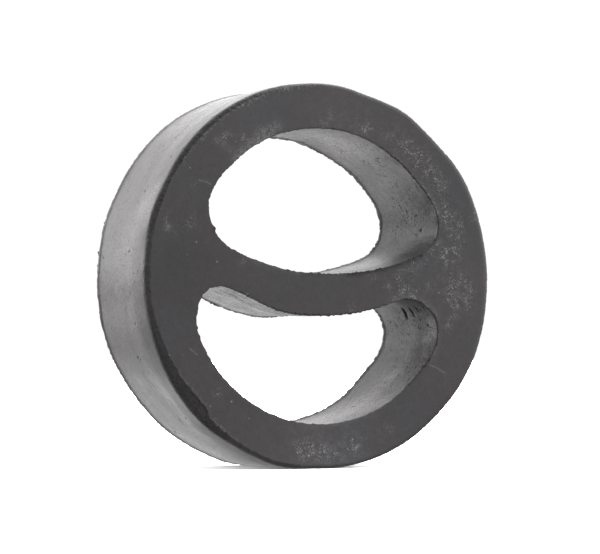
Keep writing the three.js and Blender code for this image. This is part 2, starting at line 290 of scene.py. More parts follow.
def rim(turns):
    """How far the bevel runs in, how far its outer edge stands out, and how far the tearing adds to that, at turns from 0 to 1."""
    degrees, out, wider = np.array(RIM_TORN).T
    t = 360 * (turns % 1)
    return around(BEVEL_RUN, 24 * turns) + np.interp(t, degrees, wider), around(RIM_WANDER, 24 * turns), np.interp(t, degrees, out)


def circle(turn, depth=0.0):
    return np.stack([32.5 * np.cos(turn), np.full_like(turn, depth), 32.5 * np.sin(turn)], 1)


def outer_ring(turn, y, share, inset):
    """One closed line round the ring at depth y, set in by a share of the bevel's run and by inset."""
    turns = turn / (2 * np.pi)
    radius = around(OUTER_RADIUS, 48 * turns)
    run, wander, torn_out = rim(turns)
    nicks = around(RIM_NICKS, 24 * turns)
    c = circle(turn)
    run = np.maximum(run + nicks * (0.9 * NICK(c) + 0.6 * LUMP(c) + 0.7 * BURR(c)), 0.2)
    nibble = 0.06 + 0.75 * nicks
    soft = around(RIM_SOFT, 24 * turns)
    share = share + soft * (1 - math.sqrt(1 - (1 - min(y / 0.7, 1.0)) ** 2) - share) * (y > 0)
    inset = inset * (1 - soft * (0.02 < y < 2))
    front = nibble * (0.6 * CORNER(c) + 0.6 * BURR(c)) * np.exp(-(((y - 0.78) / 0.22) ** 2))
    c60 = circle(turn, 60.0)
    front = np.abs(front) + soft * 0.13 * np.abs(BURR(c)) * np.exp(-(((y - 0.3) / 0.35) ** 2))
    back = (0.07 * FRAY_WIDE(c60) + 0.09 * FRAY(c60) + 0.16 * BURR(c60)) * fade(y, 19.9, 20.2)
    lip_starts = 19.35 + 0.25 * LIP(c) + 0.12 * FRAY(circle(turn, 75.0))
    lip = OUTER_LIP * fade(y, 4.0, 9.0) * (1 - fade(y, lip_starts, lip_starts + 0.45))
    total = share * run + inset
    r = radius + (wander + torn_out) * max(0.0, 1 - y / RIM_BLEND) ** 2.5 - total - front - np.maximum(back, -0.04) - lip
    z = np.maximum(r * np.sin(turn), -SEAT_DROP + 0.35 * total)
    return np.stack([r * np.cos(turn), np.full_like(r, y), z], 1)


def quarter(radius, steps):
    """(how far along, how far in) over a quarter-round, from its end on the wall to its end on the face."""
    a = np.linspace(0, np.pi / 2, steps + 1)
    return np.stack([radius * np.sin(a), radius * (1 - np.cos(a))], 1)


FINE = 1080
fine_turn = 2 * np.pi * np.arange(FINE) / FINE
coarse_turn = fine_turn[::2]
bevel = [
    (0.0, 1.0, 0.2), (0.0, 1.0, 0.12), (0.025, 1.0, 0.055), (0.06, 1.0, 0.0), (0.12, 0.9, 0.0), (0.2, 0.755, 0.0),
    (0.28, 0.6, 0.0), (0.35, 0.46, 0.0), (0.43, 0.345, 0.005), (0.51, 0.235, 0.01), (0.59, 0.13, 0.03),
    (0.65, 0.05, 0.045), (0.7, 0.0, 0.05), (0.76, 0.0, 0.028), (0.83, 0.0, 0.01), (0.92, 0.0, 0.0),
]
wall_depths = [1.1, 1.35, 1.65, 2.0, 2.4, 2.85, 3.3, 3.75, 4.2]
wall_depths += list(np.linspace(4.2, 18.9, 27)[1:]) + [19.1, 19.26, 19.4, 19.53, 19.66, 19.8, 19.93]
rings_fine = [outer_ring(fine_turn, *b) for b in bevel]
rings_coarse = [outer_ring(coarse_turn, y, 0.0, 0.0) for y in wall_depths]
rings_coarse += [outer_ring(coarse_turn, DEPTH - BACK_ROUND + a, 0.0, b) for a, b in quarter(BACK_ROUND, 7)]
rings_coarse.append(outer_ring(coarse_turn, DEPTH, 0.0, BACK_ROUND + 0.09))


def eye_loop(name, control, steps):
    """Points round an eye, their outward normals, how far the back outline lies outside the front one, and the tearing."""
    index = np.arange(len(control) * steps) / steps
    p = around(control, index)
    along = np.roll(p[:, :2], -1, 0) - np.roll(p[:, :2], 1, 0)
    along /= np.linalg.norm(along, axis=1, keepdims=True)
    share = index / len(control)
    torn = np.zeros(len(p))
    for eye, first, last, amount in EYE_TORN_AND_SHADE:
        if eye == name:
            torn = np.maximum(torn, amount * fade(share, first - 0.01, first + 0.01) * (1 - fade(share, last - 0.01, last + 0.01)))
    return p[:, :2], np.stack([along[:, 1], -along[:, 0]], 1), p[:, 2], torn


def eye_ring(loop, y, out):
    at, normal, taper, loop_torn = loop
    flat = np.stack([at[:, 0], np.zeros(len(at)), at[:, 1]], 1)
    torn = loop_torn
    fray = (0.09 + 0.12 * torn) * FRAY(flat) + 0.07 * FRAY_WIDE(flat) + (0.14 + 0.2 * torn) * BURR(flat)
    rear = flat + [0, 90, 0]
    fray_back = 0.09 * FRAY(rear) + 0.08 * FRAY_WIDE(rear) + 0.16 * BURR(rear)
    lip_starts = DEPTH - 1.0 + 0.3 * LIP(rear) + 0.1 * FRAY(flat + [0, 120, 0])
    lip = EYE_LIP * fade(y, 6.0, 12.0) * (1 - fade(y, lip_starts, lip_starts + 0.5))
    o = out + lip + taper * y / DEPTH + fray * (1 - fade(y, 0.1, 0.7)) + fray_back * fade(y, DEPTH - 0.7, DEPTH - 0.1)
    return np.stack([at[:, 0] + normal[:, 0] * o, np.full(len(at), y), at[:, 1] + normal[:, 1] * o], 1)


def eye_rings(loop):
    mouth = [(0.0, EYE_ROUND + 0.08)] + [(EYE_ROUND - a, b) for a, b in quarter(EYE_ROUND, 4)[::-1]]
    inner = [0.36, 0.6, 0.9, 1.3, 1.75]
    outer = [0.36, 0.5, 0.64, 0.78, 0.92, 1.1, 1.35, 1.75]
    depths = inner + list(np.linspace(1.75, DEPTH - 1.75, 25)[1:-1]) + [DEPTH - d for d in outer[::-1]]
    steps = mouth + [(d, 0.0) for d in depths] + [(DEPTH - y, o) for y, o in mouth[::-1]]
    return [eye_ring(loop, y, o) for y, o in steps]


loops = {"upper": eye_loop("upper", UPPER_EYE, 14), "lower": eye_loop("lower", LOWER_EYE, 13)}
eyes = {name: eye_rings(loop) for name, loop in loops.items()}

# ---- the skin as vertices and faces ---------------------------------------------------------------------
points, quads, triangles = [], [], []
total_points = 0


def lay(ring):
    global total_points
    points.append(ring)
    total_points += len(ring)
    return np.arange(total_points - len(ring), total_points)


def band(a, b, outward):
    an, bn = np.roll(a, -1), np.roll(b, -1)
    quads.append(np.stack([a, b, bn, an] if outward else [a, an, bn, b], 1))


fine_ids = [lay(r) for r in rings_fine]
coarse_ids = [lay(r) for r in rings_coarse]
for a, b in zip(fine_ids, fine_ids[1:]):
    band(a, b, True)
f, c = fine_ids[-1], coarse_ids[0]
f0, f1, f2, c0, c1 = f[::2], f[1::2], np.roll(f[::2], -1), c, np.roll(c, -1)
triangles += [np.stack([f0, c0, f1], 1), np.stack([f1, c0, c1], 1), np.stack([f1, c1, f2], 1)]
for a, b in zip(coarse_ids, coarse_ids[1:]):
    band(a, b, True)
eye_ids = {}
for name, rings in eyes.items():
    ids = [lay(r) for r in rings]
    for a, b in zip(ids, ids[1:]):
        band(a, b, False)
    eye_ids[name] = ids


def inside(p, loop):
    """Which points of p (x, z) lie inside a closed loop of (x, z)."""
    a, b = loop, np.roll(loop, -1, 0)
    x, z = p[:, :1], p[:, 1:]
    crosses = (a[None, :, 1] > z) != (b[None, :, 1] > z)
    rise = b[:, 1] - a[:, 1]
    rise = np.where(np.abs(rise) < 1e-12, 1e-12, rise)
    at = a[None, :, 0] + (z - a[None, :, 1]) * ((b[:, 0] - a[:, 0]) / rise)[None]
    return (crosses & (x < at)).sum(1) % 2 == 1


def spread(step):
    rows = np.arange(-33, 33, step * math.sqrt(3) / 2)
    cols = np.arange(-33, 33, step)
    x, z = np.meshgrid(cols, rows)
    x = x + (np.arange(len(rows)) % 2)[:, None] * step / 2
    jog = np.random.RandomState(5).uniform(-0.12, 0.12, x.shape + (2,)) * step
    return np.stack([x + jog[..., 0], z + jog[..., 1]], -1).reshape(-1, 2)


def near(p, at, reach):
    return (((p[:, None] - at[None]) ** 2).sum(-1) < reach**2).any(1)


def resampled(line, step):
    line = np.asarray(line, float)
    out = []
    for a, b in zip(line, line[1:]):
        n = max(1, int(math.ceil(np.linalg.norm(b - a) / step)))
        out += [a + (b - a) * k / n for k in range(n)]
    return np.array(out + [line[-1]])


def thinned(p, gap):
    """The points of p, without those closer than gap to one before them."""
    d = ((p[:, None] - p[None]) ** 2).sum(-1)
    d[np.triu_indices(len(p))] = np.inf
    keep = np.ones(len(p), bool)
    for k in range(len(p)):
        keep[k] = not (keep[:k] & (d[k, :k] < gap**2)).any()
    return p[keep]


def lay_face(outer_id, inner_ids, y, step, extra, front):
    """A flat face: a triangulation of what lies between the outer loop and the two eyes."""
    everything = np.concatenate(points)
    ids = [outer_id] + inner_ids
    rims = [everything[i][:, [0, 2]] for i in ids]
    rim = np.concatenate(rims)
    grid = spread(step)
    if len(extra):
        extra = thinned(extra, 0.07)
        grid = grid[~near(grid, extra, 0.12)]
        grid = np.concatenate([grid, extra])
    keep = inside(grid, rims[0]) & ~inside(grid, rims[1]) & ~inside(grid, rims[2])
    grid = grid[keep]
    clear = np.ones(len(grid), bool)
    for start in range(0, len(grid), 2000):
        part = grid[start : start + 2000]
        gap = ((part[:, None] - rim[None]) ** 2).sum(-1).min(1)
        clear[start : start + 2000] = gap > 0.17**2
    grid = grid[clear]
    flat = np.concatenate([rim, grid])
    edges, first = [], 0
    for r in rims:
        edges += [(first + k, first + (k + 1) % len(r)) for k in range(len(r))]
        first += len(r)
    verts, _, faces, origin, _, _ = delaunay_2d_cdt([Vector(p) for p in flat], edges, [], 0, 1e-7)
    if len(verts) != len(flat):
        raise RuntimeError("the face's outline crosses itself")
    index = np.array([o[0] for o in origin])
    tri = index[np.array([list(f) for f in faces])]
    middle = flat[tri].mean(1)
    tri = tri[inside(middle, rims[0]) & ~inside(middle, rims[1]) & ~inside(middle, rims[2])]
    a, b, c = flat[tri[:, 0]], flat[tri[:, 1]], flat[tri[:, 2]]
    turn = (b[:, 0] - a[:, 0]) * (c[:, 1] - a[:, 1]) - (b[:, 1] - a[:, 1]) * (c[:, 0] - a[:, 0])
    tri = np.where((turn > 0)[:, None], tri, tri[:, ::-1])
    laid = lay(np.stack([grid[:, 0], np.full(len(grid), y), grid[:, 1]], 1))
    where = np.concatenate(ids + [laid])
    triangles.append(where[tri if front else tri[:, ::-1]])


fine_spots = []
for x, z, radius, _ in CRUMBS:
    for r, n in ((0.0, 1), (0.11, 6), (0.22, 10), (0.34, 14)):
        for k in range(n):
            a = 2 * math.pi * (k + 0.5 * (n == 10)) / n
            fine_spots.append((x + r * math.cos(a), z + r * math.sin(a)))
for line in SCRATCHES:
    for p in resampled(line, 0.14):
        fine_spots += [tuple(p + [dx, dz]) for dx, dz in ((0, 0), (0.07, 0.12), (-0.07, -0.12), (-0.12, 0.13), (0.12, -0.13))]
lay_face(fine_ids[0], [eye_ids["upper"][0], eye_ids["lower"][0]], 0.0, 0.62, np.array(fine_spots), True)
lay_face(coarse_ids[-1], [eye_ids["upper"][-1], eye_ids["lower"][-1]], DEPTH, 1.1, np.zeros((0, 2)), False)

at = np.concatenate(points)
quads = np.concatenate(quads)
triangles = np.concatenate(triangles)


# ---- where the marks on the walls are -------------------------------------------------------------------
def on_wall(wall, y, share):
    if wall == "outer":
        return outer_ring(np.array([2 * np.pi * share]), y, 0.0, 0.0)[0]
    at_, normal, taper, _ = loops[wall]
    k = int(round(share * len(at_))) % len(at_)
    o = taper[k] * y / DEPTH
    return np.array([at_[k, 0] + normal[k, 0] * o, y, at_[k, 1] + normal[k, 1] * o])


pits = [(on_wall(wall, y, share), radius, deep) for wall, rows in WALL_PITS.items() for y, share, radius, deep in rows]
cuts = []
for (y0, s0), (y1, s1), radius, deep in WALL_CUTS:
    line = np.array([on_wall("lower", y0 + (y1 - y0) * t, s0 + (s1 - s0) * t) for t in np.linspace(0, 1, 9)])
    cuts.append((line, radius, deep))

mesh = bpy.data.meshes.new("hanger_rubber")
mesh.from_pydata(at.tolist(), [], quads.tolist() + triangles.tolist())
bm = bmesh.new()
bm.from_mesh(mesh)
bm.faces.ensure_lookup_table()
middle = at[quads].mean(1)
wanted = np.zeros(len(quads), bool)
for p, radius, _ in pits:
    wanted |= ((middle - p) ** 2).sum(1) < (radius + 0.28) ** 2
for line, radius, _ in cuts:
    for p in line:
        wanted |= ((middle - p) ** 2).sum(1) < (radius + 0.35) ** 2
around_marks = {e for k in np.nonzero(wanted)[0] for e in bm.faces[int(k)].edges}
bmesh.ops.subdivide_edges(bm, edges=list(around_marks), cuts=2, use_grid_fill=True)
bmesh.ops.triangulate(bm, faces=bm.faces[:])
bm.normal_update()
bm.to_mesh(mesh)
bm.free()

# ---- the surface's own relief ---------------------------------------------------------------------------
count = len(mesh.vertices)
at = np.zeros(count * 3, np.float32)
mesh.vertices.foreach_get("co", at)
at = at.reshape(-1, 3).astype(float)
normal = np.zeros(count * 3, np.float32)
mesh.vertex_normals.foreach_get("vector", normal)
normal = normal.reshape(-1, 3).astype(float)

flatness = fade(np.abs(normal[:, 1]), 0.6, 0.97)  # 1 on the two faces, 0 on the walls
wallness = 1 - flatness
swell = 0.036 * Field(21, 7.5)(at) + 0.016 * Field(22, 2.6)(at) + 0.007 * Field(23, 1.0)(at)
dents = 0.022 * Field(24, 9.0)(at) + 0.008 * Field(25, 2.2)(at) - 0.03
relief = wallness * swell + flatness * dents

# Painted shade in the pits and cuts.
pit_shade = np.zeros(count)
chalk = np.zeros(count)
for p, radius, deep in pits:
    d = ((at - p) ** 2).sum(1)
    bell = np.exp(-d / radius**2)
    relief -= deep * bell
    if deep > 0:
        pit_shade = np.maximum(pit_shade, np.exp(-d / (0.9 * radius) ** 2) * min(1.0, deep / 0.2))
for line, radius, deep in cuts:
    d = ((at[:, None] - line[None]) ** 2).sum(-1)
    ends = np.linspace(0, 1, len(line))
    slim = radius * (0.45 + 0.75 * np.sin(np.pi * (0.12 + 0.76 * ends)))
    bell = np.exp(-d / slim**2).max(1)
    relief -= deep * bell
    pit_shade = np.maximum(pit_shade, fade(bell, 0.3, 0.9) * min(1.0, deep / 0.4))
front = (normal[:, 1] < -0.9) & (at[:, 1] < 0.5)
flat_at = at[:, [0, 2]]
for x, z, radius, pale in CRUMBS:
    d = ((flat_at - [x, z]) ** 2).sum(1)
    bell = np.exp(-d / (0.5 * radius) ** 2) * front
    relief += 0.05 * pale * bell
    chalk = np.maximum(chalk, pale * bell)
for line in SCRATCHES:
    for p in resampled(line, 0.12):
        bell = np.exp(-((flat_at - p) ** 2).sum(1) / 0.1**2) * front
        chalk = np.maximum(chalk, 0.36 * bell)
# Pale film of dust on the walls, also painted sheen: the whole outer wall behind the bevel, with patches painted
# lighter as reflection and darker as shade.
film_and_sheen = np.zeros(count)
share_turn = (np.arctan2(at[:, 2], at[:, 0]) / (2 * np.pi)) % 1
on_outer = np.hypot(at[:, 0], at[:, 2]) > around(OUTER_RADIUS, 48 * share_turn) - 0.9
film_and_sheen += on_outer * fade(at[:, 1], 0.75, 1.6)
for wall, rows in WALL_FILM_AND_SHEEN.items():
    for y, share, reach, amount in rows:
        film_and_sheen += amount * np.exp(-((at - on_wall(wall, y, share)) ** 2).sum(1) / reach**2) * (on_outer == (wall == "outer"))
film_and_sheen *= wallness
# Painted light and shade on the front face, and the back face darker.
face_light_and_shade = np.zeros(count)
for x, z, reach, amount in FACE_LIGHT_AND_SHADE:
    face_light_and_shade += amount * np.exp(-((flat_at - [x, z]) ** 2).sum(1) / reach**2) * front
face_light_and_shade -= 0.3 * (normal[:, 1] > 0.5)
rear_edge = fade(at[:, 1], 17.6, 19.2) * on_outer
dust = np.zeros(count)
for x, z, radius in DUST:
    dust += np.exp(-((flat_at - [x, z]) ** 2).sum(1) / radius**2) * front
for x, z, radius, amount in DUST_VEIL:
    dust += amount * np.exp(-((flat_at - [x, z]) ** 2).sum(1) / radius**2) * front
behind = (normal[:, 1] > 0.9) & (at[:, 1] > DEPTH - 0.5)
for x, z, radius, amount in BACK_DUST:
    dust += amount * np.exp(-((flat_at - [x, z]) ** 2).sum(1) / radius**2) * behind
scuff = np.zeros(count)
for eye, first, last, width, amount in SCUFFS:
    line = np.array([on_wall(eye, 0.0, t)[[0, 2]] for t in np.linspace(first, last, 25)])
    d = ((flat_at[:, None] - line[None]) ** 2).sum(-1).min(1)
    scuff = np.maximum(scuff, amount * np.exp(-d / width**2) * front)
for x, z, radius, amount in SCUFF_SPOTS:
    scuff = np.maximum(scuff, amount * np.exp(-((flat_at - [x, z]) ** 2).sum(1) / radius**2) * front)
# Nicked rubber just inside the bevel: a ragged belt that is widest where the edge is most torn.
turns = (np.arctan2(at[:, 2], at[:, 0]) / (2 * np.pi)) % 1
run, _, _ = rim(turns)
edge_radius = around(OUTER_RADIUS, 48 * turns) - run
in_from_edge = edge_radius - np.hypot(at[:, 0], at[:, 2])
torn = around(RIM_SPECKS, 24 * turns) * (0.3 + 0.7 * fade(CLUMP(at), -0.25, 0.3))
belt = fade(in_from_edge, -0.3, 0.1) * (1 - fade(in_from_edge, 0.15, 0.65 + 0.4 * torn)) * torn * (at[:, 1] < 0.1)

# Painted shade on the bevel, strongest at the upper left.
edge_shade_and_tear = around(RIM_SHADE_AND_MATT, 24 * turns) * fade(-in_from_edge, -0.15, 0.05) * (1 - fade(at[:, 1], 0.7, 0.85))
# Painted shade along the eyes' torn front edges, where the rubber is also torn.
eye_edge_shade_and_tear = np.zeros(count)
near_front = (at[:, 1] < 1.2) & ~on_outer
for name, (at_, normal_, taper, torn) in loops.items():
    worst = np.nonzero(torn > 0.05)[0]
    gap = ((flat_at[near_front][:, None] - at_[worst][None]) ** 2).sum(-1)
    close = np.exp(-gap / (0.2 + 0.25 * torn[worst]) ** 2) * torn[worst]
    eye_edge_shade_and_tear[near_front] = np.maximum(eye_edge_shade_and_tear[near_front], 0.9 * close.max(1) * (1 - fade(at[near_front][:, 1], 0.25, 0.6)))
drawn = on_outer * wallness * np.exp(-(((turns * 360 - 117) / 15) ** 2))
under_web = np.array([on_wall("lower", 10.0, t)[[0, 2]] for t in np.linspace(0.74, 0.86, 40)])
gap = ((flat_at[:, None] - under_web[None]) ** 2).sum(-1).min(1)
drawn = np.maximum(drawn, 0.9 * wallness * ~on_outer * np.exp(-gap / 0.8**2))

at = at + normal * relief[:, None]

# ---- to the part's frame: the middle of the ring is the origin ---------------------------------------------
step_turn = 2 * np.pi * np.arange(144) / 144
plain = around(OUTER_RADIUS, 48 * step_turn / (2 * np.pi))
plain_x, plain_z = plain * np.cos(step_turn), np.maximum(plain * np.sin(step_turn), -SEAT_DROP)
CENTRE = np.array([(plain_x.min() + plain_x.max()) / 2, DEPTH / 2, (plain_z.min() + plain_z.max()) / 2])
at = (at - CENTRE) * MM
low, high = np.array(cad_box[0]), np.array(cad_box[1])
at = np.clip(at, low, high)
mesh.vertices.foreach_set("co", at.astype(np.float32).ravel())
mesh.update()
mesh.shade_smooth()


def attribute(name, values):
    mesh.attributes.new(name, "FLOAT", "POINT").data.foreach_set("value", values.astype(np.float32))


attribute("pit_shade", pit_shade)
attribute("chalk", np.clip(chalk, 0, 1.2))
attribute("dust", np.clip(dust, 0, 1))
attribute("wall", wallness)
attribute("belt", np.clip(belt, 0, 1))
attribute("film_and_sheen", np.clip(film_and_sheen, -1, 2.5))
attribute("face_light_and_shade", np.clip(face_light_and_shade, -1, 1))
attribute("rear", rear_edge)
attribute("edge_shade_and_tear", np.clip(edge_shade_and_tear + eye_edge_shade_and_tear, 0, 1))
attribute("drawn", drawn)
attribute("scuff", scuff)
attribute("outside", on_outer * wallness)

ring = bpy.data.objects.new("moulded_rubber_ring", mesh)
bpy.context.scene.collection.objects.link(ring)
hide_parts("hanger_ring")
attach(ring, "root")


# ---- materials ------------------------------------------------------------------------------------------
class Graph:
    """Adds shader nodes: inputs are values or other nodes' outputs, by name or by number."""

    def __init__(self, tree):
        self.tree = tree
        tree.nodes.clear()

    def add(self, kind, inputs=None, **settings):
        n = self.tree.nodes.new("ShaderNode" + kind)
        for k, v in settings.items():
            setattr(n, k, v)
        for k, v in (inputs or {}).items():
            if isinstance(v, bpy.types.NodeSocket):
                self.tree.links.new(v, n.inputs[k])
            else:
                n.inputs[k].default_value = v
        return n

    def math(self, operation, a, b=0.0, c=0.0, clamp=False):
        inputs = {0: a, 1: b}
        if operation in ("MULTIPLY_ADD", "COMPARE", "SMOOTH_MIN", "SMOOTH_MAX", "WRAP"):
            inputs[2] = c
        return self.add("Math", inputs, operation=operation, use_clamp=clamp).outputs[0]

    def scaled(self, vector, x, y, z):
        return self.add("VectorMath", {0: vector, 1: (x, y, z)}, operation="MULTIPLY").outputs[0]

    def noise(self, vector, scale, detail=2.0, roughness=0.5):
        n = self.add("TexNoise", {"Vector": vector, "Scale": scale, "Detail": detail, "Roughness": roughness})
        return n.outputs["Fac"]

    def ramp(self, value, low, high, to_low=0.0, to_high=1.0, smooth=True):
        n = self.add(
            "MapRange",
            {"Value": value, "From Min": low, "From Max": high, "To Min": to_low, "To Max": to_high},
            interpolation_type="SMOOTHSTEP" if smooth else "LINEAR",
        )
        return n.outputs[0]

    def named(self, name):
        return self.add("Attribute", attribute_name=name).outputs["Fac"]

    def blend(self, share, a, b):
        n = self.add("Mix", data_type="RGBA")
        for socket, value in ((n.inputs[0], share), (n.inputs[6], a), (n.inputs[7], b)):
            if isinstance(value, bpy.types.NodeSocket):
                self.tree.links.new(value, socket)
            else:
                socket.default_value = value
        return n.outputs[2]


def moulded_rubber():
    material = bpy.data.materials.new("moulded_black_rubber")
    material.use_nodes = True
    g = Graph(material.node_tree)
    m = g.math
    place = g.add("TexCoord").outputs["Object"]
    mm = g.scaled(place, 1000, 1000, 1000)
    wall, pit_shade_, chalk_ = g.named("wall"), g.named("pit_shade"), g.named("chalk")
    dust_, belt_, film_and_sheen_ = g.named("dust"), g.named("belt"), g.named("film_and_sheen")
    face_light_and_shade_, rear_, outside_, edge_shade_and_tear_ = g.named("face_light_and_shade"), g.named("rear"), g.named("outside"), g.named("edge_shade_and_tear")
    drawn_, scuff_ = g.named("drawn"), g.named("scuff")

    cloud = g.noise(mm, 0.13, 4, 0.55)
    mottle = g.noise(mm, 0.75, 3, 0.6)
    fleck = g.noise(mm, 1.9, 3, 0.65)
    grain = g.noise(mm, 5.5, 2, 0.6)
    # Drawn lines that run round the walls, coarse and fine.
    streak = g.noise(g.scaled(place, 200, 1500, 200), 1.0, 3, 0.65)
    hair = g.noise(g.scaled(place, 420, 4600, 420), 1.0, 2, 0.6)
    scored = g.noise(g.scaled(place, 55, 1500, 55), 1.0, 3, 0.6)

    # The rubber itself: charcoal with a slow cloudiness and a finer mottle.
    tone = m("MULTIPLY_ADD", cloud, 0.44, 0.78)
    deep = g.scaled(place, 1000, 420, 1000)
    blotch = g.noise(deep, 0.36, 3, 0.6)
    spot = g.noise(deep, 1.1, 3, 0.65)
    tone = m("MULTIPLY", tone, m("MULTIPLY_ADD", mottle, 0.7, 0.65))
    tone = m("MULTIPLY", tone, m("MULTIPLY_ADD", grain, 0.8, 0.6))
    tone = m("MULTIPLY", tone, m("MULTIPLY_ADD", m("SUBTRACT", blotch, 0.5), m("MULTIPLY", wall, 1.2), 1.0))
    # Painted light and shade: the front face lighter towards the bottom, top and right, darker towards the left, and
    # the back face darker.
    tone = m("MULTIPLY", tone, m("MULTIPLY_ADD", face_light_and_shade_, 0.55, 1.0))
    tone = m("MULTIPLY", tone, m("MULTIPLY_ADD", drawn_, g.ramp(scored, 0.35, 0.65, -0.3, 0.3), 1.0))
    share = m("SUBTRACT", tone, 0.5, clamp=True)
    warm = g.blend(share, (0.0186, 0.0160, 0.0169, 1), (0.067, 0.0577, 0.0609, 1))
    cool = g.blend(share, (0.0171, 0.0161, 0.0176, 1), (0.0617, 0.0581, 0.0636, 1))
    charcoal = g.blend(g.ramp(g.noise(mm, 0.07, 2, 0.5), 0.4, 0.6), warm, cool)

    # A thin pale film of dust on the walls, also painted sheen where they catch the bright surround, patchy, with drawn
    # lines in it.
    patchy = m("MULTIPLY", g.ramp(blotch, 0.32, 0.68, 0.8, 1.2), g.ramp(spot, 0.3, 0.7, 0.75, 1.25))
    lines = m("MULTIPLY", g.ramp(streak, 0.3, 0.7, 0.94, 1.06), g.ramp(fleck, 0.3, 0.7, 0.75, 1.25))
    scores = m("MULTIPLY", g.ramp(scored, 0.35, 0.65, -0.5, 0.7), drawn_)
    lines = m("ADD", lines, scores)
    film_and_sheen_share = m("MULTIPLY", m("MAXIMUM", m("ADD", film_and_sheen_, 0.0), 0.0), m("MULTIPLY", patchy, lines))
    extra = m("MAXIMUM", m("SUBTRACT", film_and_sheen_, outside_), 0.0)
    granular = m("MULTIPLY", extra, g.ramp(g.noise(mm, 3.3, 2, 0.6), 0.46, 0.62, -0.5, 1.3))
    film_and_sheen_share = m("MULTIPLY", m("MAXIMUM", m("ADD", film_and_sheen_share, granular), 0.0), 0.2, clamp=True)
    colour = g.blend(film_and_sheen_share, charcoal, (0.349, 0.321, 0.332, 1))
    # Pin-pricks and paler flecks in the walls' skin.
    crowd = m("MULTIPLY_ADD", g.noise(mm, 0.3, 2, 0.5), 0.34, 0.12)
    prick = g.ramp(m("SUBTRACT", g.noise(mm, 1.9, 2, 0.6), crowd), 0.02, 0.07, 1.0, 0.0)
    prick = m("MULTIPLY", prick, m("MULTIPLY_ADD", outside_, -0.6, wall))
    paler = m("MULTIPLY", g.ramp(g.noise(mm, 2.8, 2, 0.6), 0.66, 0.73), wall)
    colour = g.blend(m("MULTIPLY", prick, 0.7), colour, (0.01, 0.01, 0.01, 1))
    colour = g.blend(m("MULTIPLY", paler, 0.16), colour, (0.33, 0.33, 0.33, 1))
    # Painted shade along the bevel, darkest at the upper left, and along the eyes' torn front edges, where the rubber
    # is also torn.
    ragged_shade = m("MULTIPLY", edge_shade_and_tear_, g.ramp(g.noise(mm, 2.1, 3, 0.7), 0.36, 0.58, 1.2, 0.35), clamp=True)
    colour = g.blend(m("MULTIPLY", ragged_shade, 0.95), colour, (0.006, 0.006, 0.0065, 1))

    # Dust on the face: irregular crumbs that gather in patches, with a thin scatter everywhere else.
    face = m("SUBTRACT", 1.0, wall, clamp=True)
    speck = g.noise(mm, 3.4, 3, 0.75)
    level = m("MULTIPLY_ADD", m("MULTIPLY", dust_, g.ramp(g.noise(mm, 0.7, 3, 0.65), 0.38, 0.6, 0.25, 1.15)), -0.155, 0.705)
    crumb = m("MULTIPLY", g.ramp(m("SUBTRACT", speck, level), 0.0, 0.04), face)
    crumb = m("MULTIPLY", crumb, m("MULTIPLY_ADD", g.noise(mm, 0.9, 1, 0.5), 0.9, 0.25))
    # Hair-fine curling scratches among the dust.
    curl = m("ABSOLUTE", m("SUBTRACT", g.noise(mm, 0.6, 3, 0.6), 0.5))
    curl = m("MULTIPLY", g.ramp(curl, 0.004, 0.014, 0.6, 0.0), m("MULTIPLY", dust_, g.ramp(mottle, 0.45, 0.62)))
    crumb = m("MAXIMUM", crumb, m("MULTIPLY", curl, face))
    wisp = m("MULTIPLY", dust_, g.ramp(g.noise(mm, 1.2, 3, 0.7), 0.42, 0.7, 0.0, 0.13))
    nick = m("MULTIPLY", belt_, g.ramp(g.noise(mm, 2.9, 3, 0.75), 0.5, 0.64, 0.0, 0.65))
    nick = m("MAXIMUM", nick, m("MULTIPLY", scuff_, g.ramp(g.noise(mm, 3.2, 3, 0.7), 0.38, 0.6, 0.04, 0.52)))
    mark = m("MULTIPLY", chalk_, g.ramp(g.noise(mm, 4.0, 2, 0.6), 0.35, 0.6, 0.35, 1.0))
    pale = m("MAXIMUM", m("MAXIMUM", crumb, wisp), m("MAXIMUM", nick, mark), clamp=True)
    colour = g.blend(pale, colour, (0.31, 0.31, 0.305, 1))

    # Painted shade: the pits and cuts are painted dark.
    colour = g.blend(pit_shade_, colour, (0.005, 0.005, 0.005, 1))

    film_dip_and_shade = m("MAXIMUM", m("MULTIPLY", film_and_sheen_, -1.0), 0.0)
    rough = m("MULTIPLY_ADD", mottle, 0.18, m("MULTIPLY_ADD", cloud, 0.16, 0.38))
    on_wall_ = m("MULTIPLY_ADD", outside_, -0.13, -0.34)
    on_wall_ = m("MULTIPLY_ADD", spot, 0.18, m("MULTIPLY_ADD", blotch, 0.18, on_wall_))
    on_wall_ = m("MULTIPLY_ADD", fleck, 0.16, m("MULTIPLY_ADD", film_dip_and_shade, 0.2, on_wall_))
    on_wall_ = m("MULTIPLY_ADD", prick, 0.25, on_wall_)
    rough = m("MULTIPLY_ADD", m("SUBTRACT", scored, 0.5), m("MULTIPLY", drawn_, 0.6), rough)
    rough = m("MULTIPLY_ADD", edge_shade_and_tear_, 0.3, rough)
    rough = m("MULTIPLY_ADD", wall, on_wall_, rough)
    rough = m("MULTIPLY_ADD", pale, 0.3, rough)
    rough = m("MULTIPLY_ADD", pit_shade_, 0.4, rough, clamp=True)

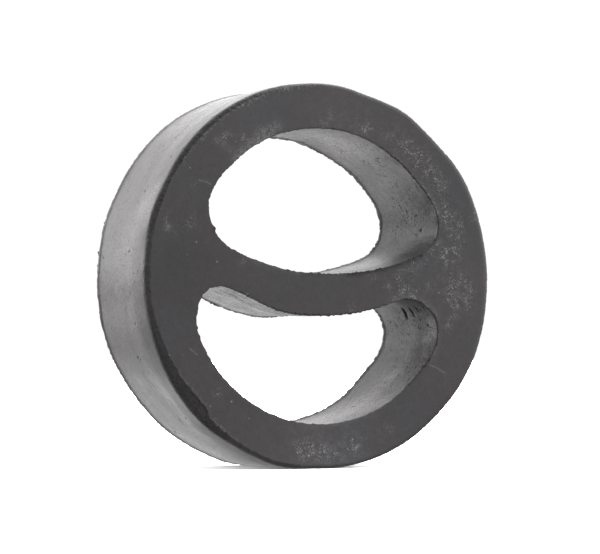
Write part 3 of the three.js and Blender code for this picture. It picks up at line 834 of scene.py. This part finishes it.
    # Relief in millimetres: moulding grain, orange-peel, drawn lines on the walls, crumbs and nicks.
    height = m("MULTIPLY", grain, 0.006)
    inner_wall = m("MULTIPLY_ADD", outside_, -0.62, wall)
    height = m("MULTIPLY_ADD", mottle, m("MULTIPLY_ADD", inner_wall, 0.07, 0.014), height)
    height = m("MULTIPLY_ADD", m("MULTIPLY", fleck, inner_wall), 0.055, height)
    height = m("MULTIPLY_ADD", m("MULTIPLY", g.noise(mm, 3.6, 2, 0.6), inner_wall), 0.022, height)
    height = m("MULTIPLY_ADD", m("MULTIPLY", scored, drawn_), m("MULTIPLY_ADD", inner_wall, 0.11, 0.03), height)
    height = m("MULTIPLY_ADD", m("MULTIPLY", edge_shade_and_tear_, g.noise(mm, 2.3, 3, 0.7)), 0.14, height)
    height = m("MULTIPLY_ADD", m("MULTIPLY", streak, wall), 0.006, height)
    height = m("MULTIPLY_ADD", m("MULTIPLY", hair, m("MULTIPLY_ADD", rear_, 1.6, 0.06)), m("MULTIPLY", wall, 0.02), height)
    height = m("MULTIPLY_ADD", prick, -0.05, height)
    height = m("MULTIPLY_ADD", pale, 0.02, height)
    height = m("MULTIPLY_ADD", m("MULTIPLY", belt_, g.noise(mm, 2.4, 2, 0.6)), 0.06, height)
    bump = g.add("Bump", {"Strength": 1.0, "Distance": MM, "Height": height})

    surface = g.add(
        "BsdfPrincipled",
        {
            "Base Color": colour,
            "Roughness": rough,
            "Metallic": 0.0,
            "IOR": 1.5,
            "Specular IOR Level": 0.5,
            "Normal": bump.outputs[0],
        },
    )
    out = g.add("OutputMaterial")
    material.node_tree.links.new(surface.outputs[0], out.inputs[0])
    return material


mesh.materials.append(moulded_rubber())

# ---- floor ----------------------------------------------------------------------------------------------
# A pale sheet, bright enough in the camera's view to burn out to white but for the shadow at the contact. What it throws back on the object is set by FLOOR_BOUNCE:
# radiance everywhere, and broad patches of (x, y, reach in millimetres, radiance).
FLOOR_Z = low[2] - 0.00001
FLOOR_BOUNCE = 0.12
FLOOR_PATCHES = [(0, 320, 180, 4.35), (0, 60, 45, 1.25), (-170, 0, 90, 0.58), (170, 0, 90, 1.47), (-8, 42, 26, 1.3)]
floor_mesh = bpy.data.meshes.new("floor")
r = 40.0
floor_mesh.from_pydata([(-r, -r, FLOOR_Z), (r, -r, FLOOR_Z), (r, r, FLOOR_Z), (-r, r, FLOOR_Z)], [], [(0, 1, 2, 3)])
floor = bpy.data.objects.new("floor", floor_mesh)
bpy.context.scene.collection.objects.link(floor)
paper = bpy.data.materials.new("pale_floor")
paper.use_nodes = True
paper.cycles.emission_sampling = "NONE"
g = Graph(paper.node_tree)
here = g.add("TexCoord").outputs["Object"]
total = None
for k, (x, y, reach, radiance) in enumerate(FLOOR_PATCHES):
    d = g.add("VectorMath", {0: here, 1: (x * MM, y * MM, FLOOR_Z)}, operation="DISTANCE").outputs["Value"]
    d = g.math("DIVIDE", d, reach * MM)
    patch = g.math("EXPONENT", g.math("MULTIPLY", g.math("MULTIPLY", d, d), -1.0))
    n = g.add("Math", {0: patch, 1: radiance, 2: FLOOR_BOUNCE if total is None else total}, operation="MULTIPLY_ADD")
    n.name = "patch_%02d" % k
    total = n.outputs[0]
sheet = g.add("BsdfDiffuse", {"Color": (2.3, 2.3, 2.3, 1), "Roughness": 0.0})
bounce = g.add("Emission", {"Color": (1, 1, 1, 1), "Strength": total})
choice = g.add("MixShader", {0: g.add("LightPath").outputs["Is Camera Ray"], 1: bounce.outputs[0], 2: sheet.outputs[0]})
paper.node_tree.links.new(choice.outputs[0], g.add("OutputMaterial").inputs[0])
floor_mesh.materials.append(paper)

# ---- light: a soft studio of overlapping broad glows --------------------------------------------------------
# Azimuth is measured from -Y (in front) towards +X, elevation above the floor, both in degrees; then the radiance.
SHARPNESS = 12.0
SURROUND = 0.17
GLOWS = [
    (0, 7, 0.57), (30, 7, 1.45), (60, 7, 1.79), (90, 7, 1.77), (120, 7, 1.79), (150, 7, 1.9),
    (180, 7, 0.81), (210, 7, 2.0), (240, 7, 1.5), (270, 7, 0.75), (300, 7, 0), (330, 7, 0),
    (20, 40, 1.09), (65, 40, 1.56), (110, 40, 1.67), (155, 40, 1.28), (200, 40, 0.26), (245, 40, 0.97), (290, 40, 0.17), (335, 40, 0.15),
    (45, 68, 1.13), (135, 68, 1.38), (225, 68, 1.04), (315, 68, 0.62),
    (0, 90, 1.08),
]
world = bpy.data.worlds.new("studio")
bpy.context.scene.world = world
world.use_nodes = True
g = Graph(world.node_tree)
way = g.add("TexCoord").outputs["Generated"]
total = None
for k, (azimuth, elevation, radiance) in enumerate(GLOWS):
    a, e = math.radians(azimuth), math.radians(elevation)
    towards = (math.sin(a) * math.cos(e), -math.cos(a) * math.cos(e), math.sin(e))
    along = g.add("VectorMath", {0: way, 1: towards}, operation="DOT_PRODUCT").outputs["Value"]
    glow = g.math("EXPONENT", g.math("MULTIPLY_ADD", along, SHARPNESS, -SHARPNESS))
    n = g.add("Math", {0: glow, 1: radiance, 2: SURROUND if total is None else total}, operation="MULTIPLY_ADD")
    n.name = "glow_%02d" % k
    total = n.outputs[0]
lit = g.add("Background", {"Color": (1, 1, 1, 1), "Strength": total})
seen = g.add("Background", {"Color": (1, 1, 1, 1), "Strength": 1.05})
choice = g.add("MixShader", {0: g.add("LightPath").outputs["Is Camera Ray"], 1: lit.outputs[0], 2: seen.outputs[0]})
world.node_tree.links.new(choice.outputs[0], g.add("OutputWorld").inputs[0])

# ---- camera ---------------------------------------------------------------------------------------------
YAW, RISE = math.radians(26.5863), math.radians(1.7565)
forward = Vector((math.sin(YAW) * math.cos(RISE), math.cos(YAW) * math.cos(RISE), math.sin(RISE)))
right = Vector((math.cos(YAW), -math.sin(YAW), 0.0))
up = right.cross(forward)
place = (Vector((-204.211, -399.775, -13.880)) - Vector(CENTRE)) * MM
camera_data = bpy.data.cameras.new("camera")
camera_data.lens = 160.789
camera_data.sensor_width = 36.0
camera_data.clip_start = 0.01
camera_data.clip_end = 200.0
camera = bpy.data.objects.new("camera", camera_data)
camera.matrix_world = Matrix(
    (
        (right.x, up.x, -forward.x, place.x),
        (right.y, up.y, -forward.y, place.y),
        (right.z, up.z, -forward.z, place.z),
        (0, 0, 0, 1),
    )
)
bpy.context.scene.collection.objects.link(camera)
bpy.context.scene.camera = camera
bpy.context.scene.view_settings.view_transform = "Standard"
